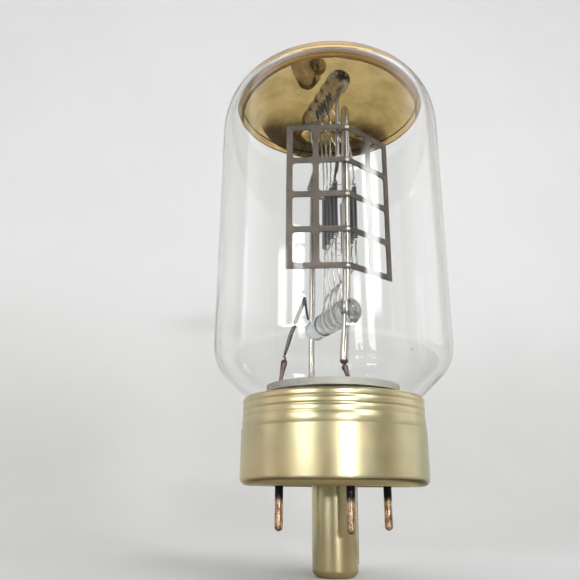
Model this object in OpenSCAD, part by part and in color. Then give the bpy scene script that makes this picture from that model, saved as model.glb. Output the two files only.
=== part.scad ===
// Projection lamp: a clear tubular envelope with a mirrored domed end, a biplane
// filament between two glass bridges, and a keyed base with four contact pins.
// Millimetres. +Z runs from the base to the domed end. The origin is where the lamp's
// axis meets the seating face of the base, and +X and +Y pass over contact pins.

/* [Envelope] */
// Outside diameter of the glass tube
tube_d = 38.1; // [37:0.1:39]
// Height of the dome's top above the seating face
overall_h = 72.9; // [72:0.1:76]
// Thickness of the glass
wall = 0.8; // [0.6:0.1:1.0]
// Height where the tube turns into the dome
dome_z = 59; // [58:0.5:60]
// Squareness of the dome's outline, where 2 is an ellipse
dome_power = 2.6; // [2.2:0.1:3.2]
// Radius of the bend from the tube into the cone
heel_r = 6.3; // [5:0.1:7]
// Slope of the cone from horizontal, in degrees
cone_angle = 44; // [42:1:46]
// Outside radius of the neck inside the base
neck_r = 12.9; // [12.7:0.1:13]
// Height of the mirror's lower edge
mirror_z = 65.7; // [64:0.1:68]
// Thickness of the mirror film as modelled
mirror_t = 0.15; // [0.1:0.05:0.3]

/* [Base] */
// Outside radius of the lower cup
cup_r = 14.34; // [14.3:0.02:14.5]
// Height of the lower cup
cup_h = 8.18; // [8:0.02:8.6]
// Radius of the cup's lower edge
cup_edge_r = 1.2; // [0.8:0.1:1.5]
// Outside radius of the upper collar
collar_r = 14.15; // [14.1:0.01:14.2]
// Height of the collar's top rim above the seating face
collar_top = 12.98; // [12.8:0.02:13]
// Depth of the grooves between the collar's ridges
groove_depth = 0.06; // [0.05:0.01:0.2]
// Sheet thickness of cup and collar
sheet_t = 0.5; // [0.45:0.05:0.5]

/* [Pins and post] */
// Diameter of the circle that the contact pins stand on
pin_circle_d = 17; // [16.8:0.1:17.2]
// Diameter of a contact pin
pin_d = 1.24; // [1.1:0.02:1.4]
// How far the pins stand out of the seating face
pin_reach = 6.3; // [5.5:0.1:7]
// Radius of the guide post
post_r = 3.38; // [3.2:0.02:3.5]
// How far the guide post stands out of the seating face
post_reach = 12.5; // [11:0.1:13]
// Direction of the key rib, in degrees from +X
key_angle = 24.4; // [0:0.1:60]
// Width of the key rib
key_w = 1.2; // [0.8:0.1:1.6]
// How far the key rib stands out of the post
key_h = 0.8; // [0.5:0.1:1]

/* [Filament] */
// Coils in each of the two rows
coil_count = 4; // [3:1:5]
// Distance between neighbouring coils of a row
coil_pitch = 2.34; // [2.2:0.01:2.8]
// Diameter of a coil
coil_d = 0.9; // [0.6:0.05:1.1]
// Height of the coils' lower ends
coil_low = 39; // [38:0.1:40]
// Length of a coil
coil_len = 10; // [9:0.1:10.5]
// X of the left row
left_row_x = -0.55; // [-0.8:0.01:-0.3]
// X of the right row
right_row_x = 3.18; // [2.7:0.01:3.2]

/* [Collector grid] */
// Height of the grid's lower edge
grid_low = 32; // [31:0.1:33]
// Height of the grid
grid_h = 25.5; // [24:0.1:26]
// Width of the bars and stiles
bar_w = 0.95; // [0.7:0.05:1.2]
// Thickness of the grid's sheet
grid_t = 0.25; // [0.2:0.01:0.4]
// Length of the left panel, from the front rod to its free edge
left_panel = 9.5; // [9:0.1:9.6]
// Length of the right panel
right_panel = 9.6; // [9:0.1:9.8]

/* [Supports] */
// Diameter of the front rod
rod_d = 1.3; // [1.1:0.05:1.4]
// Diameter of the back rod
back_rod_d = 1.1; // [0.9:0.05:1.2]
// Diameter of the wires that carry the upper bridge
wire_d = 0.65; // [0.5:0.05:0.7]
// Diameter of the hook wires
hook_d = 0.4; // [0.3:0.05:0.45]
// Diameter of the glass bridges
bridge_d = 3.8; // [3.4:0.1:4]
// Height of the upper bridge's axis
upper_bridge_z = 67.2; // [67:0.1:67.3]
// Height of the lower bridge's axis
lower_bridge_z = 25.7; // [25.5:0.1:26]
// Radius of the heat disc
disc_r = 10.5; // [10:0.1:10.8]
// Height of the heat disc's underside
disc_z = 14; // [13.9:0.1:14.1]
// Thickness of the heat disc
disc_t = 1.1; // [0.8:0.1:1.2]

/* [Hidden] */
$fn = 64;
eps = 0.01;
tube_r = tube_d / 2;
dome_h = overall_h - dome_z;

// the cone meets the base rim a little outside the collar's top
cone_foot = [13.76, 13.2];
heel_x = tube_r - heel_r;
heel_z = cone_foot[1] + (heel_x + heel_r * sin(cone_angle) - cone_foot[0]) * tan(cone_angle)
    + heel_r * cos(cone_angle);
neck_bore = neck_r - wall;
neck_low = 7.2;
neck_top = cone_foot[1] + (neck_r - cone_foot[0]) * tan(cone_angle);
neck_bore_top = cone_foot[1] + (neck_bore - cone_foot[0]) * tan(cone_angle) + wall / cos(cone_angle);

stem_t = 2;
stem_top = neck_low + stem_t;
boss_h = 1.2;
lead_d = 0.6;
exhaust_r = 2;
exhaust_t = 0.6;
exhaust_low = -7;

insulator_low = 0.25;
insulator_top = 2.6;
lip_r = 11.6;
head_t = 0.6;
pin_head_r = 1.1;
pin_neck_r = pin_d / 2 - 0.1;
post_flange_r = 5;
post_wall = 0.8;
post_edge_r = 1;
key_low = -11.4;

pin_r = pin_d / 2;
rod_r = rod_d / 2;
back_rod_r = back_rod_d / 2;
wire_r = wire_d / 2;
hook_r = hook_d / 2;
bridge_r = bridge_d / 2;
coil_r = coil_d / 2;
coil_top = coil_low + coil_len;
disc_top = disc_z + disc_t;

// where the pins stand: front, right, back and left
pin_at = pin_circle_d / 2;
front_pin = [0, -pin_at, 0];
right_pin = [pin_at, 0, 0];
back_pin = [0, pin_at, 0];
left_pin = [-pin_at, 0, 0];

// bends of the rods, wires and leads, bottom to top
front_rod_path = [[-0.45, -7.95, 17.4], [0.12, -8.14, 29.5], [0.49, -8.24, 61.4]];
back_rod_path = [[-1.4, 8.7, 15.7], [-1, 8.7, 53]];
front_wire_path = [[-0.62, -5.9, 49.8], [-0.75, -7.2, 50.8], [-0.72, -7.7, 61], [-0.4, -7.8, 65.3]];
spring_low = [-1.6, 8.7, 53.9];
spring_high = [-0.5, 8.4, 58];
spring_d = 1.3;
back_wire_path = [spring_high, [-0.7, 7.6, 61], [-1.95, 6.8, 65.8]];
left_bar_path = [[-7.85, -0.09, 19.5], [-6.55, 0.27, 24.1], [-4.1, 1.8, 30.2]];
left_wire_path = [[-4.1, 2.2, 30.1], [-3.3, 4.6, 29.2], [-2.7, 5.6, 27.4]];
left_bar_d = 0.95;

// ends of the bridges: the near end is towards -Y
upper_near = [-0.19, -7.4, upper_bridge_z];
upper_far = [-2.1, 5.3, upper_bridge_z];
lower_near = [0.65, -7.4, lower_bridge_z];
lower_far = [-1.3, 6, lower_bridge_z];

// the rows are staggered by half a pitch; row 0 is the left one
row_start_y = -5.08;
function coil_at(row, i) = [
    row == 0 ? left_row_x : right_row_x,
    row_start_y + i * coil_pitch + row * coil_pitch / 2
];
function between(a, b, t) = a + (b - a) * t;
function bridge_x(near, far, y) = between(near[0], far[0], (y - near[1]) / (far[1] - near[1]));

// outline of the dome from the tube to the axis
dome_steps = 30;
function dome(r, h) = [for (i = [0:dome_steps])
    let (t = 90 * i / dome_steps)
    [r * pow(cos(t), 2 / dome_power), dome_z + h * pow(sin(t), 2 / dome_power)]];

// bend between the cone and the tube, from the cone up
heel_steps = 10;
function heel(r) = [for (i = [0:heel_steps])
    let (t = (cone_angle - 90) * (1 - i / heel_steps))
    [heel_x + r * cos(t), heel_z + r * sin(t)]];

function reversed(list) = [for (i = [len(list) - 1:-1:0]) list[i]];

// collar outline: a shoulder that swells above the seam, then three rolled ridges
ridge_pitch = 1.08;
ridge_low = 9.7;
swell = 0.07;
collar_steps = 40;
function collar_outer(z) = collar_r + (z < ridge_low
    ? swell * sin(180 * (z - cup_h) / (ridge_low - cup_h))
    : -groove_depth * pow(abs(cos(180 * (z - ridge_low) / ridge_pitch)), 5)
        + groove_depth * pow(max(0, 1 - (z - ridge_low) / 0.3), 2));

// moves a shape that stands on +Z so that it runs from p towards q
module along(p, q) {
    d = q - p;
    translate(p)
        rotate([0, acos(d[2] / norm(d)), atan2(d[1], d[0])])
            children();
}

// a bent round wire: one ring of points at each bend, square to the wire there
wire_sides = 12;
function unit(v) = v / norm(v);
function wire_way(path, i) =
    i == 0 ? unit(path[1] - path[0])
    : i == len(path) - 1 ? unit(path[i] - path[i - 1])
    : unit(unit(path[i] - path[i - 1]) + unit(path[i + 1] - path[i]));
function wire_ring(centre, way, r) =
    let (side = unit(cross(way, [0.31, 0.83, 0.46])), up = cross(way, side))
    [for (k = [0:wire_sides - 1])
        let (t = 360 * k / wire_sides)
        centre + r * (cos(t) * side + sin(t) * up)];
module wire(path, r) {
    n = wire_sides;
    last = len(path) - 1;
    points = [for (i = [0:last]) each wire_ring(path[i], wire_way(path, i), r)];
    walls = [for (i = [0:last - 1]) for (k = [0:n - 1])
        let (a = i * n + k, b = i * n + (k + 1) % n)
        each [[a, b, b + n], [a, b + n, a + n]]];
    polyhedron(points, concat(
        [[for (k = [n - 1:-1:0]) k]],
        walls,
        [[for (k = [0:n - 1]) last * n + k]]
    ));
}

// a glass rod with rounded ends whose tips are one radius past p and q
module glass_rod(p, q, r) {
    len = norm(q - p);
    end_steps = 12;
    along(p, q)
        rotate_extrude()
            polygon(concat(
                [for (i = [0:end_steps])
                    let (t = -90 + 90 * i / end_steps)
                    [r * cos(t), r * sin(t)]],
                [for (i = [0:end_steps])
                    let (t = 90 * i / end_steps)
                    [r * cos(t), len + r * sin(t)]]
            ));
}

module glass_envelope() {
    inner_r = tube_r - wall;
    color([0.9, 0.93, 0.93, 0.25])
        rotate_extrude($fn = 128)
            polygon(concat(
                [[neck_r, neck_low], [neck_r, neck_top]],
                heel(heel_r),
                dome(tube_r, dome_h),
                reversed(dome(inner_r, dome_h - wall)),
                reversed(heel(heel_r - wall)),
                [[neck_bore, neck_bore_top], [neck_bore, neck_low]]
            ));
}

module end_mirror() {
    inner_r = tube_r - wall;
    color("goldenrod")
        rotate_extrude($fn = 128)
            intersection() {
                polygon(concat(
                    dome(inner_r, dome_h - wall),
                    reversed(dome(inner_r - mirror_t, dome_h - wall - mirror_t))
                ));
                translate([0, mirror_z]) square([tube_r, dome_h]);
            }
}

module button_stem() {
    color([0.85, 0.9, 0.88, 0.5])
        difference() {
            union() {
                translate([0, 0, neck_low]) cylinder(r = neck_bore, h = stem_t);
                for (p = [front_pin, back_pin, left_pin])
                    translate([p[0], p[1], stem_top - eps]) cylinder(r = 1.1, h = boss_h + eps);
            }
            for (p = [front_pin, back_pin, left_pin])
                translate([p[0], p[1], neck_low - 1]) cylinder(d = lead_d, h = stem_t + boss_h + 2);
            translate([0, 0, neck_low - 1]) cylinder(r = exhaust_r - exhaust_t, h = stem_t + 2);
        }
}

module exhaust_tube() {
    bore_r = exhaust_r - exhaust_t;
    color([0.85, 0.9, 0.88, 0.5])
        difference() {
            union() {
                translate([0, 0, exhaust_low]) cylinder(r = exhaust_r, h = neck_low - exhaust_low);
                translate([0, 0, exhaust_low]) sphere(r = exhaust_r);
            }
            translate([0, 0, exhaust_low]) cylinder(r = bore_r, h = neck_low - exhaust_low + 1);
            translate([0, 0, exhaust_low]) sphere(r = bore_r);
        }
}

module heat_disc() {
    color([0.93, 0.92, 0.88])
        difference() {
            translate([0, 0, disc_z]) cylinder(r = disc_r, h = disc_t, $fn = 96);
            for (p = [front_pin, back_pin, left_pin])
                translate([p[0], p[1], disc_z - 1]) cylinder(d = lead_d, h = disc_t + 2);
        }
}

module base_shell() {
    edge_steps = 8;
    edge_x = cup_r - cup_edge_r;
    color([0.76, 0.72, 0.5])
        rotate_extrude($fn = 128)
            polygon(concat(
                [[lip_r, 0]],
                [for (i = [0:edge_steps])
                    let (t = -90 + 90 * i / edge_steps)
                    [edge_x + cup_edge_r * cos(t), cup_edge_r + cup_edge_r * sin(t)]],
                [[cup_r, cup_h], [cup_r - sheet_t, cup_h]],
                [[cup_r - sheet_t, cup_edge_r], [edge_x, sheet_t], [lip_r, sheet_t]]
            ));
}

module base_collar() {
    skirt_low = 4.5;
    step_z = cup_h + 0.6;
    skirt_out = cup_r - sheet_t;
    rim_in = collar_r - sheet_t;
    rim_edge = 0.35;
    color([0.78, 0.74, 0.52])
        rotate_extrude($fn = 128)
            polygon(concat(
                [[skirt_out - sheet_t, skirt_low], [skirt_out, skirt_low], [skirt_out, cup_h]],
                [for (i = [0:collar_steps])
                    let (z = cup_h + (collar_top - rim_edge - cup_h) * i / collar_steps)
                    [collar_outer(z), z]],
                [[collar_r - rim_edge * 0.6, collar_top - rim_edge * 0.2], [rim_in + 0.05, collar_top]],
                [[rim_in, collar_top - 0.1], [rim_in, step_z], [skirt_out - sheet_t, step_z]]
            ));
}

module basing_cement() {
    skirt_in = cup_r - 2 * sheet_t;
    rim_in = collar_r - sheet_t;
    step_z = cup_h + 0.6;
    color([0.85, 0.8, 0.7])
        rotate_extrude($fn = 96)
            polygon([
                [neck_r, neck_low], [skirt_in, neck_low], [skirt_in, step_z],
                [rim_in, step_z], [rim_in, neck_top], [neck_r, neck_top]
            ]);
}

module base_insulator() {
    color([0.35, 0.18, 0.09])
        difference() {
            union() {
                translate([0, 0, insulator_low]) cylinder(r = lip_r, h = insulator_top - insulator_low);
                translate([0, 0, sheet_t])
                    cylinder(r = cup_r - cup_edge_r, h = insulator_top - sheet_t);
            }
            translate([0, 0, -1]) cylinder(r = post_r, h = insulator_top + 2);
            for (p = [front_pin, right_pin, back_pin, left_pin])
                translate([p[0], p[1], -1]) cylinder(r = pin_neck_r, h = insulator_top + 2);
        }
}

module guide_post() {
    edge_steps = 6;
    edge_x = post_r - post_edge_r;
    bore_r = post_r - post_wall;
    key_edge = 0.5;
    color([0.76, 0.71, 0.48]) {
        difference() {
            union() {
                rotate_extrude()
                    polygon(concat(
                        [[0, -post_reach]],
                        [for (i = [0:edge_steps])
                            let (t = -90 + 90 * i / edge_steps)
                            [edge_x + post_edge_r * cos(t), -post_reach + post_edge_r * (1 + sin(t))]],
                        [[post_r, insulator_top], [post_flange_r, insulator_top]],
                        [[post_flange_r, insulator_top + head_t], [0, insulator_top + head_t]]
                    ));
                rotate([0, 0, key_angle])
                    translate([0, key_w / 2, 0])
                        rotate([90, 0, 0])
                            linear_extrude(key_w)
                                polygon([
                                    [post_r - 0.5, insulator_low], [post_r + key_h, insulator_low],
                                    [post_r + key_h, key_low + key_edge],
                                    [post_r + key_h - key_edge, key_low], [post_r - 0.5, key_low]
                                ]);
            }
            translate([0, 0, -post_reach + post_wall])
                cylinder(r = bore_r, h = post_reach + insulator_top + head_t);
        }
    }
}

// one contact pin: a domed tip, a shoulder under the insulator, a thinner neck through it and
// a riveted head above it
module contact_pin(at) {
    color([0.72, 0.45, 0.3])
        translate(at) {
            translate([0, 0, -pin_reach + pin_r]) cylinder(r = pin_r, h = pin_reach - pin_r + insulator_low);
            translate([0, 0, -pin_reach + pin_r]) sphere(r = pin_r);
            translate([0, 0, insulator_low - eps])
                cylinder(r = pin_neck_r, h = insulator_top - insulator_low + head_t + eps);
            translate([0, 0, insulator_top]) cylinder(r = pin_head_r, h = head_t);
        }
}

// a lead-in wire from the pin's head through stem and disc to where it is welded
module lead_in(at, weld) {
    top = disc_top + 0.4;
    color([0.75, 0.5, 0.42])
        wire([at + [0, 0, insulator_top + head_t], at + [0, 0, top], weld], lead_d / 2);
}

// one column of a panel's windows as upright cutters, from x0 to x1 along the panel
module windows(x0, x1) {
    corner_r = 0.5;
    corner_steps = 4;
    rows = 4;
    row_h = (grid_h - bar_w) / rows;
    w = x1 - x0;
    h = row_h - bar_w;
    cut = 2.4;
    outline = [for (corner = [[w, h, 0], [0, h, 90], [0, 0, 180], [w, 0, 270]])
        for (i = [0:corner_steps])
            let (t = corner[2] + 90 * i / corner_steps)
            [abs(corner[0] - corner_r) + corner_r * cos(t), abs(corner[1] - corner_r) + corner_r * sin(t)]];
    for (i = [0:rows - 1])
        translate([x0, cut / 2, grid_low + bar_w + i * row_h])
            rotate([90, 0, 0])
                linear_extrude(cut) polygon(outline);
}

// the sheet runs from the left panel's end, round the rod's front, to the right panel's end
grid_rod = [0.3, -8.19];
left_turn = -15.6;
right_turn = 28.8;
wrap_steps = 8;
function wrap(r, t) = grid_rod + r * [sin(t), -cos(t)];
function panel_end(r, t, reach) = wrap(r, t) + reach * [cos(t), sin(t)];
function sheet_side(r) = concat(
    [panel_end(r, left_turn, -left_panel)],
    [for (i = [0:wrap_steps]) wrap(r, between(left_turn, right_turn, i / wrap_steps))],
    [panel_end(r, right_turn, right_panel)]
);
module collector_grid() {
    mid = 4.75;
    stile = 1.0;
    past_rod = 0.95;
    color([0.66, 0.64, 0.6])
        difference() {
            translate([0, 0, grid_low])
                linear_extrude(grid_h)
                    polygon(concat(sheet_side(rod_r + grid_t), reversed(sheet_side(rod_r))));
            for (panel = [[left_turn, -1, left_panel], [right_turn, 1, right_panel]])
                translate([grid_rod[0], grid_rod[1], 0])
                    rotate([0, 0, panel[0]])
                        translate([0, -rod_r, 0])
                            for (reach = [[-past_rod, mid - stile / 2], [mid + stile / 2, panel[2] - stile]])
                                windows(min(panel[1] * reach), max(panel[1] * reach));
        }
}

module front_rod() {
    color("silver") wire(front_rod_path, rod_r);
}
module back_rod() {
    color("silver") wire(back_rod_path, back_rod_r);
}
module front_wire() {
    color("silver") wire(front_wire_path, wire_r);
}
module back_wire() {
    color("silver") wire(back_wire_path, wire_r);
}
module left_lead() {
    color("dimgray") wire(left_bar_path, left_bar_d / 2);
}
module left_wire() {
    color("dimgray") wire(left_wire_path, wire_r);
}

module upper_bridge() {
    color([0.85, 0.85, 0.8, 0.5]) glass_rod(upper_near, upper_far, bridge_r);
}
module lower_bridge() {
    color([0.85, 0.85, 0.8, 0.5])
        difference() {
            glass_rod(lower_near, lower_far, bridge_r);
            along(front_rod_path[0], front_rod_path[1]) cylinder(r = rod_r, h = 20);
        }
}

// hooks hold the links between coils: up to the upper bridge or down to the lower one
link_r = 0.2;
link_w = 0.4;
link_rise = 0.4;
back_leg_z = coil_top + 1.6;
last_coil = coil_at(1, coil_count - 1);
link_top = coil_top + link_rise;
link_low = coil_low - link_rise;
module upper_hooks() {
    color("gray")
        for (i = [0:coil_count - 2])
            for (p = [coil_at(1, i), coil_at(0, i + 1)]) {
                x = bridge_x(upper_near, upper_far, p[1]);
                wire([[p[0], p[1], link_top],
                    [between(p[0], x, 0.25), p[1], 58],
                    [between(p[0], x, 0.9), p[1], 63.5],
                    [x, p[1], upper_bridge_z - bridge_r]], hook_r);
            }
}
module lower_hooks() {
    color("gray")
        for (row = [0, 1])
            for (i = [0:coil_count - 1]) {
                p = coil_at(row, i);
                x = bridge_x(lower_near, lower_far, p[1]);
                wire([[p[0], p[1], link_low],
                    [p[0], p[1], 34.4],
                    [between(p[0], x, 0.7), p[1], 31.4],
                    [x, p[1], lower_bridge_z + bridge_r]], hook_r);
            }
}

// the coils in zigzag order: each pair is joined at the bottom, and at the top to the next
module link(a, b, z) {
    along(concat(a, z + link_rise / 2), concat(b, z + link_rise / 2))
        translate([-link_rise / 2, -link_w / 2, -link_w / 2])
            cube([link_rise, link_w, norm(b - a) + link_w]);
}
module filament() {
    color([0.35, 0.35, 0.38]) {
        for (row = [0, 1])
            for (i = [0:coil_count - 1])
                translate(concat(coil_at(row, i), coil_low)) cylinder(r = coil_r, h = coil_len);
        for (i = [0:coil_count - 1])
            link(coil_at(0, i), coil_at(1, i), link_low);
        for (i = [0:coil_count - 2])
            link(coil_at(1, i), coil_at(0, i + 1), coil_top);
    }
}

// the filament's two ends, to the front wire and to the back rod
module filament_ends() {
    color([0.35, 0.35, 0.38]) {
        wire([concat(coil_at(0, 0), coil_top), concat(coil_at(0, 0), front_wire_path[0][2]),
            front_wire_path[0]], link_r);
        wire([concat(last_coil, coil_top), concat(last_coil, back_leg_z),
            back_rod_path[1] - [0, back_rod_r, 1]], link_r);
    }
}

// open spring coil between the back rod and the back wire, as its outer shape
module back_spring() {
    color([0.45, 0.45, 0.45])
        along(spring_low, spring_high)
            cylinder(r = spring_d / 2, h = norm(spring_high - spring_low));
}

glass_envelope();
end_mirror();
button_stem();
exhaust_tube();
heat_disc();
base_shell();
base_collar();
basing_cement();
base_insulator();
guide_post();
contact_pin(front_pin);  // contact_pin_front
contact_pin(right_pin);  // contact_pin_right
contact_pin(back_pin);  // contact_pin_back
contact_pin(left_pin);  // contact_pin_left
lead_in(front_pin, front_rod_path[0]);  // lead_in_front
lead_in(back_pin, back_rod_path[0]);  // lead_in_back
lead_in(left_pin, left_bar_path[0]);  // lead_in_left
front_rod();
back_rod();
front_wire();
back_wire();
left_lead();
left_wire();
upper_bridge();
lower_bridge();
upper_hooks();
lower_hooks();
filament();
filament_ends();
back_spring();
collector_grid();
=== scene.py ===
import math

import bpy
from mathutils import Matrix, Vector


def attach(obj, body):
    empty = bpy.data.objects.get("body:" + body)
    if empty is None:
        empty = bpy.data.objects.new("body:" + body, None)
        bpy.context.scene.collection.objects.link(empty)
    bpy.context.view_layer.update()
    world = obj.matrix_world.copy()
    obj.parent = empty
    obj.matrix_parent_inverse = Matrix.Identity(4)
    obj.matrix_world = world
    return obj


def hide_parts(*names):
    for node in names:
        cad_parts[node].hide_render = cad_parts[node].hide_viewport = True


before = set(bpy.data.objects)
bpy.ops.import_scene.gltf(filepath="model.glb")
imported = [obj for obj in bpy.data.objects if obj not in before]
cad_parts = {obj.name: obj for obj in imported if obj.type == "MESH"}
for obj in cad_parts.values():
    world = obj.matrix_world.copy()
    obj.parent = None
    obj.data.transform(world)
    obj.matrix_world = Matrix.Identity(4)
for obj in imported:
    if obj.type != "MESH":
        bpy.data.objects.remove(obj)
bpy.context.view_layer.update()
MM = 0.001

# ---------------------------------------------------------------- the lamp's main places, in millimetres
TUBE_R, WALL = 19.05, 0.8
DOME_Z, DOME_TOP, DOME_POWER = 59.0, 72.9, 2.6
MIRROR_RIM = 65.7
COIL_LOW, COIL_HIGH, COIL_PITCH = 39.0, 49.0, 2.34
COIL_ROWS_X, FIRST_COIL_Y = (-0.55, 3.18), -5.08
BRIDGE_R, UPPER_Z, LOWER_Z = 1.9, 67.2, 25.7
PIN_RADIUS = 8.5
FLOOR_Z = -12.52


# ---------------------------------------------------------------- materials
class Nodes:
    """Builds one procedural material. Coordinates are the shared frame's, in millimetres."""

    def __init__(self, name):
        self.mat = bpy.data.materials.new(name)
        self.mat.use_nodes = True
        self.tree = self.mat.node_tree
        self.tree.nodes.clear()
        self.out = self.tree.nodes.new("ShaderNodeOutputMaterial")
        place = self.add("ShaderNodeTexCoord").outputs["Object"]
        self.mm = self.vector("SCALE", place, scale=1000)

    def add(self, kind, **settings):
        node = self.tree.nodes.new(kind)
        for key, value in settings.items():
            setattr(node, key, value)
        return node

    def plug(self, socket, value):
        if isinstance(value, bpy.types.NodeSocket):
            self.tree.links.new(value, socket)
        elif isinstance(value, (tuple, list)) and len(value) == 3 and socket.type == "RGBA":
            socket.default_value = (*value, 1)
        else:
            socket.default_value = value

    def vector(self, operation, a, b=None, scale=None, output="Vector"):
        node = self.add("ShaderNodeVectorMath", operation=operation)
        self.plug(node.inputs[0], a)
        if b is not None:
            self.plug(node.inputs[1], b)
        if scale is not None:
            node.inputs["Scale"].default_value = scale
        return node.outputs[output]

    def math(self, operation, a, b=0.0):
        node = self.add("ShaderNodeMath", operation=operation)
        self.plug(node.inputs[0], a)
        self.plug(node.inputs[1], b)
        return node.outputs[0]

    def xyz(self, index):
        node = self.add("ShaderNodeSeparateXYZ")
        self.plug(node.inputs[0], self.mm)
        return node.outputs[index]

    def noise(self, size, detail=3.0, stretch=(1, 1, 1), rough=0.55):
        """Noise from 0 to 1 whose blotches are about size mm across."""
        node = self.add("ShaderNodeTexNoise")
        self.plug(node.inputs["Vector"], self.vector("MULTIPLY", self.mm, stretch))
        node.inputs["Scale"].default_value = 1 / size
        node.inputs["Detail"].default_value = detail
        node.inputs["Roughness"].default_value = rough
        return node.outputs[0]

    def cells(self, size):
        """Distance from the middle of the nearest cell, the cells about size mm apart."""
        node = self.add("ShaderNodeTexVoronoi")
        self.plug(node.inputs["Vector"], self.mm)
        node.inputs["Scale"].default_value = 1 / size
        return node.outputs["Distance"]

    def span(self, value, low, high, to_low=0.0, to_high=1.0):
        """value's range low to high, mapped and held to to_low to to_high, eased at both ends."""
        node = self.add("ShaderNodeMapRange", interpolation_type="SMOOTHSTEP")
        for socket, v in zip(node.inputs, (value, low, high, to_low, to_high)):
            self.plug(socket, v)
        return node.outputs[0]

    def band(self, value, low, high, edge):
        """1 where value lies from low to high, falling to 0 over edge on each side."""
        up = self.span(value, low - edge, low)
        down = self.span(value, high, high + edge, 1, 0)
        return self.math("MULTIPLY", up, down)

    def mix(self, factor, a, b, blend="MIX"):
        node = self.add("ShaderNodeMix", data_type="RGBA", blend_type=blend)
        self.plug(node.inputs["Factor"], factor)
        self.plug(node.inputs["A"], a)
        self.plug(node.inputs["B"], b)
        return node.outputs["Result"]

    def bump(self, height, depth, over=None):
        """Bump whose full height is depth mm."""
        node = self.add("ShaderNodeBump")
        node.inputs["Strength"].default_value = 1.0
        node.inputs["Distance"].default_value = depth * MM
        self.plug(node.inputs["Height"], height)
        if over is not None:
            self.plug(node.inputs["Normal"], over)
        return node.outputs[0]

    def surface(self, **sockets):
        shader = self.add("ShaderNodeBsdfPrincipled")
        for name, value in sockets.items():
            self.plug(shader.inputs[name.replace("_", " ")], value)
        self.tree.links.new(shader.outputs[0], self.out.inputs[0])
        return shader

    def light_passes(self, shader, tint):
        """Lamps reach what is behind this glass: shadow rays go straight through it."""
        path = self.add("ShaderNodeLightPath")
        clear = self.add("ShaderNodeBsdfTransparent")
        clear.inputs[0].default_value = (*tint, 1)
        join = self.add("ShaderNodeMixShader")
        self.plug(join.inputs[0], path.outputs["Is Shadow Ray"])
        self.tree.links.new(shader.outputs[0], join.inputs[1])
        self.tree.links.new(clear.outputs[0], join.inputs[2])
        self.tree.links.new(join.outputs[0], self.out.inputs[0])


def champagne_metal(name, turned=0.0, dents=0.0, shade=1.0, rough=0.3, grimy=1.0):
    """Satin gold-toned anodised aluminium, with turning marks, shallow dents and rubbed spots."""
    n = Nodes(name)
    cloud = n.noise(9, 4)
    grime = n.noise(3, 3, rough=0.5)
    light = tuple(c * shade for c in (0.72, 0.61, 0.37))
    olive = tuple(c * shade for c in (0.61, 0.58, 0.37))
    brown = tuple(c * shade for c in (0.42, 0.26, 0.12))
    colour = n.mix(n.span(cloud, 0.35, 0.65), light, olive)
    colour = n.mix(n.span(grime, 0.6, 0.85, 0, 0.35 * grimy), colour, brown)
    rings = n.noise(0.9, 1.5, (0.02, 0.02, 1))
    finish = n.math("ADD", n.span(grime, 0.3, 0.75, rough - 0.05 * grimy, rough + 0.1 * grimy),
                    n.span(rings, 0.3, 0.7, 0, 0.06 * turned))
    normal = n.bump(rings, 0.003 * turned)
    normal = n.bump(n.noise(2.6, 1.5), 0.035 * dents, over=normal)
    n.surface(Base_Color=colour, Metallic=1.0, Roughness=finish, Normal=normal)
    return n.mat


def clear_glass():
    """Blown glass with faint waves, patches of haze and a few dark specks."""
    n = Nodes("clear_glass")
    dusty = n.span(n.noise(14, 2), 0.52, 0.6)
    specks = n.math("MULTIPLY", n.span(n.cells(2.6), 0.035, 0.05, 1, 0), dusty)
    haze = n.noise(6, 5, (1, 1, 0.35))
    waves = n.noise(11, 2, (1, 1, 0.5))
    colour = n.mix(specks, (0.985, 0.99, 0.985), (0.25, 0.22, 0.2))
    shader = n.surface(
        Base_Color=colour, Roughness=n.span(haze, 0.62, 0.85, 0.0, 0.05), IOR=1.5, Transmission_Weight=1.0,
        Normal=n.bump(n.math("ADD", waves, n.math("MULTIPLY", specks, 0.3)), 0.05))
    n.light_passes(shader, (0.97, 0.98, 0.97))
    return n.mat


def bead_glass(name, tint, clear):
    """Glass rod that wires are fused into: streaks, patchy haze and a wavy surface."""
    n = Nodes(name)
    streak = n.noise(0.9, 4, (1, 0.3, 1))
    shader = n.surface(
        Base_Color=n.mix(n.span(streak, 0.4, 0.75), tint, clear),
        Roughness=n.span(n.noise(0.6, 3), 0.5, 0.9, 0.0, 0.06), IOR=1.5, Transmission_Weight=1.0,
        Normal=n.bump(n.noise(1.3, 3), 0.06))
    n.light_passes(shader, (0.9, 0.9, 0.9))
    return n.mat


def mirror_film(name, deep, pale):
    """Gold film, streaky, with a paler band, a dark line and a burnt edge along its rim."""
    n = Nodes(name)
    streaks = n.noise(5, 4, (1, 1, 0.4))
    colour = n.mix(n.span(streaks, 0.3, 0.7), deep, pale)
    ragged = n.math("ADD", n.xyz(2), n.math("MULTIPLY", n.noise(1.5, 4), 0.3))
    colour = n.mix(n.span(ragged, MIRROR_RIM + 1.05, MIRROR_RIM + 1.15, 1, 0), colour, pale)
    dark_line = n.band(ragged, MIRROR_RIM + 1.1, MIRROR_RIM + 1.25, 0.08)
    colour = n.mix(dark_line, colour, (0.12, 0.06, 0.02))
    colour = n.mix(n.span(ragged, MIRROR_RIM + 0.2, MIRROR_RIM + 0.35, 1, 0), colour, (0.3, 0.18, 0.07))
    n.surface(Base_Color=colour, Metallic=1.0, Roughness=n.span(n.noise(3, 5), 0.45, 0.8, 0.01, 0.06),
              Normal=n.bump(n.noise(7, 2, (1, 1, 0.6)), 0.07))
    return n.mat


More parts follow.
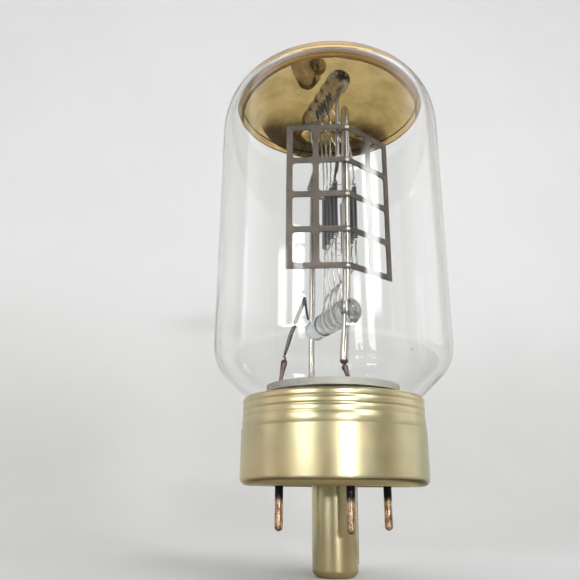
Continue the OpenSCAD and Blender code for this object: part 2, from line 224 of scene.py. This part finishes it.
def drawn_wire(name, base, dark, rough=0.3, burnt=None):
    """Drawn wire with lengthwise lines and oxide patches, scorched at the heights burnt[0] to burnt[1]."""
    n = Nodes(name)
    patches = n.noise(1.4, 5, (1, 1, 0.2), 0.7)
    lines = n.noise(0.4, 2, (1, 1, 0.03))
    colour = n.mix(n.span(patches, 0.45, 0.8), base, dark)
    finish = n.span(patches, 0.3, 0.8, rough - 0.08, rough + 0.12)
    if burnt:
        scorch = n.band(n.math("ADD", n.xyz(2), n.math("MULTIPLY", patches, 1.2)), burnt[0], burnt[1], 0.8)
        colour = n.mix(n.math("MULTIPLY", scorch, 0.9), colour, (0.07, 0.03, 0.02))
    n.surface(Base_Color=colour, Metallic=1.0, Roughness=finish,
              Normal=n.bump(patches, 0.004, over=n.bump(lines, 0.004)))
    return n.mat


def pin_metal():
    """Worn copper, nearly black next to the base and browned at the tip."""
    n = Nodes("pin_copper")
    wear = n.noise(0.7, 5, (1, 1, 0.4), 0.7)
    shifted = n.math("ADD", n.xyz(2), n.math("MULTIPLY", n.math("SUBTRACT", wear, 0.5), 1.6))
    dark = n.span(shifted, -2.5, -1.4)
    tip = n.span(shifted, -6.3, -5.7, 1, 0)
    copper = n.mix(n.span(wear, 0.35, 0.65), (0.4, 0.22, 0.13), (0.82, 0.62, 0.43))
    colour = n.mix(dark, copper, (0.03, 0.028, 0.035))
    colour = n.mix(n.math("MULTIPLY", tip, 0.75), colour, (0.12, 0.06, 0.04))
    finish = n.span(wear, 0.3, 0.7, 0.16, 0.34)
    n.surface(Base_Color=colour, Metallic=1.0, Roughness=finish, Normal=n.bump(wear, 0.08))
    return n.mat


def nickel_sheet():
    """Dull grey stamped sheet, slightly mottled by heat."""
    n = Nodes("grid_metal")
    tone = n.noise(3.5, 5, rough=0.65)
    fine = n.noise(0.3, 4)
    colour = n.mix(n.span(tone, 0.35, 0.7), (0.15, 0.125, 0.11), (0.09, 0.078, 0.07))
    n.surface(Base_Color=colour, Metallic=0.75, Roughness=n.span(fine, 0.3, 0.7, 0.42, 0.6),
              Normal=n.bump(fine, 0.02))
    return n.mat


def dull(name, light, dark, rough, size, metallic=0.0, through=0.0):
    """A matt body whose colour, gloss and surface all vary."""
    n = Nodes(name)
    tone = n.noise(size, 5, rough=0.65)
    n.surface(Base_Color=n.mix(n.span(tone, 0.3, 0.7), light, dark), Metallic=metallic,
              Roughness=n.span(tone, 0.25, 0.75, rough - 0.12, rough + 0.12),
              Transmission_Weight=through, Normal=n.bump(n.noise(size / 3, 3), 0.04))
    return n.mat


CLEAR = clear_glass()
MIRROR = mirror_film("gold_mirror", (0.6, 0.43, 0.15), (0.82, 0.6, 0.25))
# painted light: the film's outer side gets a brighter, more saturated copy of the same gold, standing in for
# the light falling on it
MIRROR_BACK_PAINTED_BRIGHT = mirror_film("gold_mirror_back_painted_bright", (0.97, 0.62, 0.16), (1.0, 0.7, 0.24))
BEAD = bead_glass("bridge_glass", (0.76, 0.8, 0.82), (0.95, 0.97, 0.98))
BEAD_BROWN = bead_glass("bridge_glass_browned", (0.42, 0.36, 0.3), (0.66, 0.6, 0.52))
SHELL = champagne_metal("base_metal", turned=0.3, dents=0.15, rough=0.31, grimy=0.6)
COLLAR = champagne_metal("collar_metal", turned=0.3, dents=0.15, rough=0.3, grimy=0.5)
POST = champagne_metal("post_metal", turned=0.0, shade=1.05, rough=0.28, grimy=0.1)
PIN = pin_metal()
ROD = drawn_wire("rod_metal", (0.62, 0.59, 0.57), (0.4, 0.36, 0.35), rough=0.2, burnt=(15.0, 18.2))
WIRE = drawn_wire("wire_metal", (0.42, 0.4, 0.4), (0.2, 0.19, 0.19))
SOOTY = drawn_wire("dark_wire", (0.16, 0.15, 0.14), (0.06, 0.055, 0.05), rough=0.42)
HOOK = drawn_wire("hook_metal", (0.72, 0.7, 0.71), (0.34, 0.32, 0.34), rough=0.22)
TUNGSTEN = drawn_wire("tungsten", (0.15, 0.14, 0.16), (0.07, 0.065, 0.08), rough=0.32)
LEAD = drawn_wire("lead_copper", (0.16, 0.11, 0.1), (0.07, 0.045, 0.04), rough=0.4)
GRID = nickel_sheet()
WELD = dull("weld_metal", (0.86, 0.78, 0.68), (0.5, 0.42, 0.36), rough=0.35, size=0.5, metallic=1.0)
DISC = dull("heat_disc", (0.55, 0.53, 0.48), (0.45, 0.43, 0.385), rough=0.5, size=2.5, through=0.25)
CEMENT = dull("cement", (0.62, 0.55, 0.45), (0.5, 0.42, 0.33), rough=0.85, size=1.2)
RESIN = dull("phenolic", (0.16, 0.07, 0.035), (0.09, 0.04, 0.02), rough=0.45, size=1.5)
STEM = bead_glass("stem_glass", (0.85, 0.88, 0.86), (0.97, 0.97, 0.96))


# ---------------------------------------------------------------- meshes
def piece(name, points, faces, material, slot, *stands_for):
    """A smooth-shaded mesh from points in millimetres, riding on the lamp."""
    mesh = bpy.data.meshes.new(name)
    mesh.from_pydata([Vector(p) * MM for p in points], [], faces)
    mesh.polygons.foreach_set("use_smooth", [True] * len(faces))
    mesh.materials.append(material)
    mesh.update()
    made = bpy.data.objects.new(name, mesh)
    bpy.context.scene.collection.objects.link(made)
    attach(made, "root")
    if stands_for:
        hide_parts(*stands_for)
    return made


def turned(outline, sides):
    """Points and faces of the closed outline of (radius, z) turned about the lamp's axis."""
    points, rings, faces = [], [], []
    for r, z in outline:
        if r < 1e-6:
            rings.append([len(points)] * sides)
            points.append((0, 0, z))
        else:
            rings.append(list(range(len(points), len(points) + sides)))
            points += [(r * math.cos(2 * math.pi * k / sides), r * math.sin(2 * math.pi * k / sides), z)
                       for k in range(sides)]
    for a, b in zip(rings, rings[1:] + rings[:1]):
        for k in range(sides):
            j = (k + 1) % sides
            corners = [a[k], a[j], b[j], b[k]]
            face = list(dict.fromkeys(corners))
            if len(face) > 2:
                faces.append(face)
    return points, faces


def smooth_path(points, steps):
    """A Catmull-Rom curve through the points."""
    p = [Vector(q) for q in points]
    p = [2 * p[0] - p[1], *p, 2 * p[-1] - p[-2]]
    made = []
    for a, b, c, d in zip(p, p[1:], p[2:], p[3:]):
        for i in range(steps):
            t = i / steps
            made.append(0.5 * (2 * b + (c - a) * t + (2 * a - 5 * b + 4 * c - d) * t * t
                               + (3 * b - a - 3 * c + d) * t ** 3))
    return [*made, p[-2]]


def swept(path, radius, sides=16, flat=1.0, side=Vector((1, 0, 0)), capped=True):
    """Points and faces of a round wire with domed ends along path. radius is one number or one for
    each point, and flat squeezes the wire along side."""
    radii = [radius] * len(path) if isinstance(radius, (int, float)) else list(radius)
    ways = [(path[min(i + 1, len(path) - 1)] - path[max(i - 1, 0)]).normalized() for i in range(len(path))]
    stations = list(zip(path, ways, radii))
    if capped:
        head, tail = [], []
        for t in (0.0, 0.35, 0.7):
            narrow = max(math.sin(t * math.pi / 2), 0.05)
            set_in = (1 - math.cos(t * math.pi / 2)) * 0.999
            head.append((path[0] + ways[0] * radii[0] * set_in, ways[0], radii[0] * narrow))
            tail.append((path[-1] - ways[-1] * radii[-1] * set_in, ways[-1], radii[-1] * narrow))
        first = (path[0] + ways[0] * radii[0], ways[0], radii[0])
        last = (path[-1] - ways[-1] * radii[-1], ways[-1], radii[-1])
        inside = [s for s in stations[1:-1]
                  if (s[0] - path[0]).length > radii[0] and (s[0] - path[-1]).length > radii[-1]]
        stations = [*head, first, *inside, last, *reversed(tail)]
    points, faces = [], []
    across = side - ways[0] * side.dot(ways[0])
    if across.length < 1e-3:
        across = ways[0].orthogonal()
    across.normalize()
    for centre, way, r in stations:
        across = (across - way * across.dot(way)).normalized()
        up = way.cross(across)
        points += [centre + across * (math.cos(2 * math.pi * k / sides) * r * flat)
                   + up * (math.sin(2 * math.pi * k / sides) * r) for k in range(sides)]
    for i in range(len(stations) - 1):
        for k in range(sides):
            j = (k + 1) % sides
            faces.append([i * sides + k, i * sides + j, (i + 1) * sides + j, (i + 1) * sides + k])
    faces.append(list(range(sides))[::-1])
    last = (len(stations) - 1) * sides
    faces.append([last + k for k in range(sides)])
    return points, faces


def joined(*parts):
    """Several (points, faces) as one."""
    points, faces = [], []
    for more, polygons in parts:
        start = len(points)
        points += list(more)
        faces += [[start + i for i in f] for f in polygons]
    return points, faces


def blob(centre, size, sides=14, rings=8):
    """An uneven bead of metal: (points, faces)."""
    points, faces = [], []
    for i in range(rings + 1):
        t = math.pi * i / rings
        for k in range(sides):
            a = 2 * math.pi * k / sides
            r = 1 + 0.1 * math.sin(3 * a + 5 * t + centre[2])
            points.append((centre[0] + size[0] * r * math.sin(t) * math.cos(a),
                           centre[1] + size[1] * r * math.sin(t) * math.sin(a),
                           centre[2] + size[2] * math.cos(t)))
    for i in range(rings):
        for k in range(sides):
            j = (k + 1) % sides
            faces.append([i * sides + k, (i + 1) * sides + k, (i + 1) * sides + j, i * sides + j])
    return points, faces


def coil(low, high, radius, wire, turns, phase=0.0, start=0.0):
    """A helix of wire from low to high: (points, faces)."""
    low, high = Vector(low), Vector(high)
    way = (high - low).normalized()
    across = way.orthogonal().normalized()
    up = way.cross(across)
    steps = int(turns * 14)
    path = []
    for i in range(steps + 1):
        a = phase + 2 * math.pi * turns * i / steps
        path.append(low + (high - low) * (start + (1 - 2 * start) * i / steps)
                    + (across * math.cos(a) + up * math.sin(a)) * (radius - wire))
    return swept(path, wire, 6, capped=False)


# ---------------------------------------------------------------- glass and mirror
heel_r, slope = 6.3, math.radians(44)
foot_r, foot_z, neck_r, neck_low = 13.76, 13.2, 12.9, 7.2
heel_x = TUBE_R - heel_r
heel_z = foot_z + (heel_x + heel_r * math.sin(slope) - foot_r) * math.tan(slope) + heel_r * math.cos(slope)


def dome(radius, height, steps=44, low=DOME_Z):
    """A superellipse from the tube's end to the axis, without the part below low."""
    points = []
    for i in range(steps + 1):
        t = math.pi / 2 * i / steps
        points.append((radius * math.cos(t) ** (2 / DOME_POWER) if i < steps else 0.0,
                       DOME_Z + height * math.sin(t) ** (2 / DOME_POWER)))
    return [p for p in points if p[1] >= low]


def heel(radius, steps=18):
    """The rounding between the cone and the tube."""
    turns = [(slope - math.pi / 2) * (1 - i / steps) for i in range(steps + 1)]
    return [(heel_x + radius * math.cos(a), heel_z + radius * math.sin(a)) for a in turns]


def tube_side(radius, steps=10):
    """The straight side between the heel and the dome."""
    return [(radius, heel_z + (DOME_Z - heel_z) * i / steps) for i in range(1, steps)]


neck_top = foot_z + (neck_r - foot_r) * math.tan(slope)
bore_top = foot_z + (neck_r - WALL - foot_r) * math.tan(slope) + WALL / math.cos(slope)
bore_r, bore_rise = TUBE_R - WALL, DOME_TOP - DOME_Z - WALL
outside = [(neck_r, neck_low), (neck_r, neck_top), *heel(heel_r), *tube_side(TUBE_R),
           *dome(TUBE_R, DOME_TOP - DOME_Z)]
inside = [(neck_r - WALL, neck_low), (neck_r - WALL, bore_top), *heel(heel_r - WALL),
          *tube_side(bore_r), *dome(bore_r, bore_rise)]
piece("bulb", *turned([*outside, *reversed(inside)], 256), CLEAR, "clear_glass", "glass_envelope")

# the film sits a hair inside the glass, so that light can't turn back at a gap before it
bite, film, film_sides = 0.02, 0.1, 192
shell = dome(bore_r + bite, bore_rise + bite, 90, MIRROR_RIM)
inner = dome(bore_r - film, bore_rise - film, 90, MIRROR_RIM)
film_mesh = turned([*shell, *reversed(inner)], film_sides)
mirror = piece("mirror_film", *film_mesh, MIRROR, "gold_mirror", "end_mirror")
# the outer faces take the brighter copy of the gold, which is painted light
mirror.data.materials.append(MIRROR_BACK_PAINTED_BRIGHT)
back_faces = film_sides * (len(shell) - 1)
mirror.data.polygons.foreach_set(
    "material_index", [int(i < back_faces) for i in range(len(mirror.data.polygons))])


# ---------------------------------------------------------------- filament and its wires
def coil_at(row, i):
    return Vector((COIL_ROWS_X[row], FIRST_COIL_Y + i * COIL_PITCH + row * COIL_PITCH / 2, 0))


def at(place, z):
    return Vector((place[0], place[1], z))


# near and far end of each bridge's axis
UPPER = (Vector((-0.19, -7.4, UPPER_Z)), Vector((-2.1, 5.3, UPPER_Z)))
LOWER = (Vector((0.65, -7.4, LOWER_Z)), Vector((-1.3, 6.0, LOWER_Z)))


def bridge_x(bridge, y):
    near, far = bridge
    return near.x + (far.x - near.x) * (y - near.y) / (far.y - near.y)


def link(a, b, z, outwards):
    """A short wire between the ends of two coils at height z. outwards is -1 below the coils, 1 above."""
    bow = [at(a, z - 0.3 * outwards), at(a, z + 0.15 * outwards), at(a.lerp(b, 0.5), z + 0.32 * outwards),
           at(b, z + 0.15 * outwards), at(b, z - 0.3 * outwards)]
    return swept(smooth_path(bow, 6), 0.05, 8)


in_each_row = 4
coils = []
for row in (0, 1):
    for i in range(in_each_row):
        low, high = at(coil_at(row, i), COIL_LOW + 0.2), at(coil_at(row, i), COIL_HIGH - 0.2)
        coils.append(coil(low, high, radius=0.45, wire=0.1, turns=27, phase=row + i))
links = [link(coil_at(0, i), coil_at(1, i), COIL_LOW, -1) for i in range(in_each_row)]
links += [link(coil_at(1, i), coil_at(0, i + 1), COIL_HIGH, 1) for i in range(in_each_row - 1)]
piece("filament_coils", *joined(*coils), TUNGSTEN, "tungsten", "filament")
piece("filament_links", *joined(*links), HOOK, "tungsten")

wire_foot = Vector((-0.62, -5.9, 49.8))
first, last = coil_at(0, 0), coil_at(1, in_each_row - 1)
ends = [swept(smooth_path([at(first, COIL_HIGH - 0.2), at(first, COIL_HIGH + 0.7), wire_foot], 8), 0.2, 12),
        swept(smooth_path([at(last, COIL_HIGH - 0.2), at(last, COIL_HIGH + 1.3), (0.6, 7.0, 51.6),
                           (-1.0, 8.2, 52.0)], 8), 0.2, 12)]
piece("filament_legs", *joined(*ends), TUNGSTEN, "tungsten", "filament_ends")

# each hook runs from its coil to the bridge, where a root of it is fused into the glass
hook_r, root_r = 0.17, 0.19
upper_hooks, lower_hooks, stubs_up, stubs_low = [], [], [], []
for i in range(in_each_row - 1):
    for x, y, _ in (coil_at(1, i), coil_at(0, i + 1)):
        end = bridge_x(UPPER, y)
        loop = [(x + 0.25, y - 0.2, COIL_HIGH + 0.35), (x, y, COIL_HIGH + 0.15),
                (x - 0.12, y + 0.2, COIL_HIGH + 0.6), (x, y, COIL_HIGH + 2.5),
                (x + 0.25 * (end - x), y, 58), (x + 0.9 * (end - x), y, 63.5), (end, y, UPPER_Z - 1.8)]
        upper_hooks.append(swept(smooth_path(loop, 6), hook_r, 10))
        bend = [(end, y, UPPER_Z - 1.85), (end, y - 0.1, UPPER_Z - 0.6), (end + 0.35, y - 0.5, UPPER_Z + 0.6)]
        stubs_up.append(swept(smooth_path(bend, 5), root_r, 10))
for row, reach in ((0, 1.5), (1, 0.4)):
    for i in range(in_each_row):
        x, y, _ = coil_at(row, i)
        end = bridge_x(LOWER, y)
        loop = [(x, y - reach, COIL_LOW - 0.25), (x, y - 0.25, COIL_LOW - 0.55), (x, y, COIL_LOW - 0.9),
                (x, y, COIL_LOW - 2.5), (x, y, 34.4), (x + 0.7 * (end - x), y, 31.4), (end, y, LOWER_Z + 1.8)]
        lower_hooks.append(swept(smooth_path(loop, 6), hook_r, 10))
        bend = [(end, y, LOWER_Z + 1.75), (end + 0.25, y - 0.25, LOWER_Z + 0.5),
                (end + 0.9, y - 0.5, LOWER_Z - 0.8)]
        stubs_low.append(swept(smooth_path(bend, 5), root_r, 10))
piece("top_hooks", *joined(*upper_hooks), HOOK, "hook_metal", "upper_hooks")
piece("bottom_hooks", *joined(*lower_hooks), HOOK, "hook_metal", "lower_hooks")
piece("top_hook_roots", *joined(*stubs_up), SOOTY, "hook_metal")
piece("bottom_hook_roots", *joined(*stubs_low), HOOK, "hook_metal")


# ---------------------------------------------------------------- bridges: glass rods with fused wires
def glass_bridge(name, ends, lobes, swell, thick_end, glass, node):
    """A glass rod with round ends. Its thickness ripples by swell in so many lobes, and its near end is
    thicker by the share thick_end."""
    near, far = ends
    way = (far - near).normalized()
    length = (far - near).length + 2 * BRIDGE_R
    steps = 96
    path, radii = [], []
    for i in range(steps + 1):
        t = i / steps
        path.append(near - way * BRIDGE_R + way * length * t)
        edge = min(t, 1 - t) * length
        r = BRIDGE_R * math.sqrt(max(0.0, 1 - (1 - edge / BRIDGE_R) ** 2)) if edge < BRIDGE_R else BRIDGE_R
        full = 1 + thick_end * max(0.0, 1 - 2.5 * t)
        radii.append(max(0.04, r * full * (1 - swell + swell * math.cos(2 * math.pi * lobes * t))))
    piece(name, *swept(path, radii, 48, capped=False), glass, "bridge_glass", node)


glass_bridge("top_bridge", UPPER, 6, 0.03, 0.1, BEAD_BROWN, "upper_bridge")
glass_bridge("bottom_bridge", LOWER, 9, 0.07, 0.16, BEAD, "lower_bridge")

# ---------------------------------------------------------------- rods, wires and leads
front_foot, front_knee, front_top = (-0.45, -7.95, 17.4), (0.12, -8.14, 29.5), (0.49, -8.24, 61.4)
back_foot, left_foot = (-1.4, 8.7, 15.7), (-7.85, -0.09, 19.5)
front_rod = smooth_path([front_foot, front_knee, front_top], 14)
piece("rod_front", *swept(front_rod, 0.65, 24), ROD, "rod_metal", "front_rod")
back_rod = [Vector(back_foot), Vector((-1.2, 8.7, 34)), Vector((-1, 8.7, 53))]
piece("rod_back", *swept(back_rod, 0.55, 24), ROD, "rod_metal", "back_rod")
wire_r = 0.325
front_wire = smooth_path([wire_foot, (-0.72, -7.0, 50.6), (-0.73, -7.5, 52.5), (-0.72, -7.7, 61),
                          (-0.4, -7.8, 65.3)], 8)
piece("wire_front", *swept(front_wire, wire_r, 16), WIRE, "wire_metal", "front_wire")
back_wire = smooth_path([(-0.5, 8.4, 58), (-0.7, 7.6, 61), (-1.95, 6.8, 65.8)], 10)
piece("wire_back", *swept(back_wire, wire_r, 16), WIRE, "wire_metal", "back_wire")
spring = [coil((-1.6, 8.7, 53.9), (-0.5, 8.4, 58), 0.65, 0.2, 8.5, start=0.03),
          swept(smooth_path([(-1.0, 8.7, 52.6), (-1.3, 8.9, 53.4), (-1.6, 8.7, 54.1)], 6), 0.3, 10)]
piece("spring_back", *joined(*spring), WIRE, "wire_metal", "back_spring")

bar = smooth_path([left_foot, (-7.2, 0.1, 21.9), (-6.55, 0.27, 24.1), (-4.1, 1.8, 30.2)], 8)
wide = [0.3 + 0.17 * min(1, i / 8) for i in range(len(bar))]
bar_mesh = swept(bar, wide, 16, flat=0.6, side=Vector((0.8, -0.5, 0.3)))
piece("lead_bar_left", *bar_mesh, SOOTY, "dark_wire", "left_lead")
thin = smooth_path([(-4.1, 1.9, 30.2), (-3.3, 4.6, 29.2), (-2.7, 5.6, 27.4)], 8)
piece("lead_wire_left", *swept(thin, 0.2, 12), SOOTY, "dark_wire", "left_wire")

# the lead-ins rise straight from their pins and thicken into the welds
for node, pin, weld in (("lead_in_front", (0, -PIN_RADIUS), front_foot),
                        ("lead_in_back", (0, PIN_RADIUS), back_foot),
                        ("lead_in_left", (-PIN_RADIUS, 0), left_foot)):
    run = [Vector((*pin, 3.2)), Vector((*pin, 9)), Vector((*pin, 14.6)), Vector((*pin, 15.3))]
    run += smooth_path([run[-1], Vector((*pin, 15.3)).lerp(Vector(weld), 0.5), weld], 4)[1:]
    thick = [0.3] * 4 + [0.3, 0.3, 0.32, 0.36, 0.42, 0.48, 0.52, 0.5]
    piece(node.replace("lead_in", "lead_wire_in"), *swept(run, thick, 14), LEAD, "lead_copper", node)

# ---------------------------------------------------------------- welds of the grid on the front rod
grid_low, grid_step = 32.475, 6.1375
welds = []
for i in range(5):
    z = grid_low + i * grid_step
    t = (z - front_knee[2]) / (front_top[2] - front_knee[2])
    x = front_knee[0] + (front_top[0] - front_knee[0]) * t
    y = front_knee[1] + (front_top[1] - front_knee[1]) * t
    welds.append(blob((x + 0.1, y - 0.8, z), (0.42, 0.16, 0.36)))
piece("grid_welds", *joined(*welds), WELD, "grid_metal")

# ---------------------------------------------------------------- carried-over CAD nodes
CAD = {
    "button_stem": STEM, "exhaust_tube": STEM, "heat_disc": DISC,
    "base_shell": SHELL, "base_collar": COLLAR, "basing_cement": CEMENT, "base_insulator": RESIN,
    "guide_post": POST, "collector_grid": GRID,
    "contact_pin_front": PIN, "contact_pin_right": PIN, "contact_pin_back": PIN, "contact_pin_left": PIN,
}
for name, material in CAD.items():
    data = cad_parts[name].data
    data.materials.clear()
    data.materials.append(material)


# ---------------------------------------------------------------- floor, light and camera
def sweep_floor():
    """A pale floor that curves up into a wall behind the lamp."""
    n = Nodes("paper")
    fibre = n.noise(0.5, 6)
    blotches = n.span(n.noise(60, 3), 0.3, 0.7)
    # painted light: the paper is painted darker on the floor and paler up the wall, so the wall reads
    # brighter than the floor
    pale = n.mix(n.span(n.xyz(2), 0, 110), n.mix(blotches, (0.775, 0.79, 0.81), (0.745, 0.76, 0.78)),
                 n.mix(blotches, (0.92, 0.935, 0.965), (0.9, 0.915, 0.945)))
    # painted reflection: in mirrored rays the floor in front is painted as dark as a room and the wall dusky,
    # which keeps metal lively
    room = n.mix(n.span(n.noise(40, 4), 0.4, 0.65), (0.012, 0.01, 0.009), (0.07, 0.03, 0.02))
    dusk = n.mix(n.span(n.noise(70, 3), 0.4, 0.62), (0.85, 0.85, 0.8), (0.42, 0.38, 0.3))
    mirrored = n.math("GREATER_THAN", n.add("ShaderNodeLightPath").outputs["Glossy Depth"], 0.5)
    away = n.vector("LENGTH", n.vector("MULTIPLY", n.mm, (1, 1, 0)), output="Value")
    near = n.math("MULTIPLY", n.band(away, 31, 134, 4), n.span(n.xyz(1), 10, 60, 1, 0))
    beside = n.math("MULTIPLY", mirrored, n.span(n.xyz(1), 30, 60, 1, 0))
    seen = n.mix(n.math("MULTIPLY", mirrored, near), n.mix(beside, pale, dusk), room)
    n.surface(Base_Color=seen, Roughness=0.9, Normal=n.bump(fibre, 0.03))
    front, back, bend, high, half_wide, steps = -700.0, 190.0, 120.0, 520.0, 620.0, 12
    line = [(front, FLOOR_Z), (-200, FLOOR_Z), (-60, FLOOR_Z), (20, FLOOR_Z)]
    for i in range(steps + 1):
        a = i * math.pi / 2 / steps
        line.append((back - bend + bend * math.sin(a), FLOOR_Z + bend - bend * math.cos(a)))
    line.append((back, high))
    points = [(x, y, z) for y, z in line for x in (-half_wide, half_wide)]
    faces = [[2 * i, 2 * i + 1, 2 * i + 3, 2 * i + 2] for i in range(len(line) - 1)]
    mesh = bpy.data.meshes.new("backdrop")
    mesh.from_pydata([Vector(p) * MM for p in points], [], faces)
    mesh.polygons.foreach_set("use_smooth", [True] * len(faces))
    mesh.materials.append(n.mat)
    made = bpy.data.objects.new("backdrop", mesh)
    bpy.context.scene.collection.objects.link(made)


sweep_floor()


def fade_edges(light, soft):
    """Dims a rectangular light towards its edges, over the share soft of its size."""
    light.use_nodes = True
    tree = light.node_tree
    where = tree.nodes.new("ShaderNodeNewGeometry").outputs["Parametric"]
    parts = tree.nodes.new("ShaderNodeSeparateXYZ")
    tree.links.new(where, parts.inputs[0])
    edges = []
    for axis in (0, 1):
        for near, far in ((0, soft), (1, 1 - soft)):
            ease = tree.nodes.new("ShaderNodeMapRange")
            ease.interpolation_type = "SMOOTHSTEP"
            tree.links.new(parts.outputs[axis], ease.inputs[0])
            ease.inputs[1].default_value, ease.inputs[2].default_value = near, far
            edges.append(ease.outputs[0])
    level = edges[0]
    for edge in edges[1:]:
        times = tree.nodes.new("ShaderNodeMath")
        times.operation = "MULTIPLY"
        tree.links.new(level, times.inputs[0])
        tree.links.new(edge, times.inputs[1])
        level = times.outputs[0]
    tree.links.new(level, tree.nodes["Emission"].inputs["Strength"])


def softbox(name, azimuth, elevation, distance, width, height, power, colour=(1, 1, 1), soft=0.0):
    """A rectangular light aimed at the lamp's middle. Azimuth 0 is towards -Y and grows towards +X."""
    a, e = math.radians(azimuth), math.radians(elevation)
    way = Vector((math.sin(a) * math.cos(e), -math.cos(a) * math.cos(e), math.sin(e)))
    light = bpy.data.lights.new(name, "AREA")
    light.shape, light.size, light.size_y = "RECTANGLE", width * MM, height * MM
    light.energy, light.color = power, colour
    if soft:
        fade_edges(light, soft)
    made = bpy.data.objects.new(name, light)
    made.location = (Vector((0, 0, 25)) + way * distance) * MM
    made.rotation_mode = "QUATERNION"
    made.rotation_quaternion = (-way).to_track_quat("-Z", "Y")
    bpy.context.scene.collection.objects.link(made)
    made.visible_camera = False
    return made


softbox("window_right", 23.5, 23, 480, 140, 175, 0.75, soft=0.25)
softbox("window_left_a", -61.5, 15.5, 480, 75, 125, 0.14, (1, 0.99, 0.97), soft=0.15)
softbox("window_left_b", -46, 13.5, 480, 80, 170, 0.22, (1, 0.99, 0.97), soft=0.15)
softbox("lamp_left", -49, 6.5, 430, 200, 45, 0.32, soft=0.2)
softbox("ceiling_lamp", 0.5, 4.5, 430, 60, 22, 0.66, soft=0.2)
key = softbox("key_right", 42, 35, 520, 260, 260, 0.82, (0.97, 0.985, 1))
key.visible_glossy = False
key.visible_transmission = False


def studio_world():
    """A room that is white behind the lamp and falls to brown and dark in front of it."""
    world = bpy.data.worlds.new("studio")
    bpy.context.scene.world = world
    world.use_nodes = True
    tree = world.node_tree
    way = tree.nodes.new("ShaderNodeTexCoord").outputs["Generated"]
    toward = tree.nodes.new("ShaderNodeVectorMath")
    toward.operation = "DOT_PRODUCT"
    tree.links.new(way, toward.inputs[0])
    toward.inputs[1].default_value = (-0.2, -0.95, 0.24)
    ramp = tree.nodes.new("ShaderNodeValToRGB")
    stops = ramp.color_ramp.elements
    stops[0].position, stops[0].color = 0.12, (1, 1, 1, 1)
    stops[1].position, stops[1].color = 0.85, (0.1, 0.11, 0.085, 1)
    stops.new(0.42).color = (0.42, 0.33, 0.23, 1)
    tree.links.new(toward.outputs["Value"], ramp.inputs[0])
    tree.links.new(ramp.outputs[0], tree.nodes["Background"].inputs[0])
    tree.nodes["Background"].inputs[1].default_value = 1.0


def place_camera(place, right, ahead, roll, lens):
    """A camera at place, in millimetres, that looks ahead and is turned by roll degrees."""
    camera = bpy.data.objects.new("camera", bpy.data.cameras.new("camera"))
    bpy.context.scene.collection.objects.link(camera)
    bpy.context.scene.camera = camera
    up = right.cross(ahead)
    c, s = math.cos(math.radians(roll)), math.sin(math.radians(roll))
    pose = Matrix((c * right + s * up, c * up - s * right, -ahead)).transposed().to_4x4()
    pose.translation = place * MM
    camera.matrix_world = pose
    camera.data.sensor_width = 36
    camera.data.lens = lens
    camera.data.clip_start, camera.data.clip_end = 0.001, 10


studio_world()
place_camera(Vector((-26.48, -94.85, -0.85)), right=Vector((0.97970, -0.20049, 0)),
             ahead=Vector((0.19055, 0.93111, 0.31096)), roll=0.447, lens=38.327)

view = bpy.context.scene.view_settings
view.view_transform = "Standard"
view.look = "None"
view.exposure = 0.0
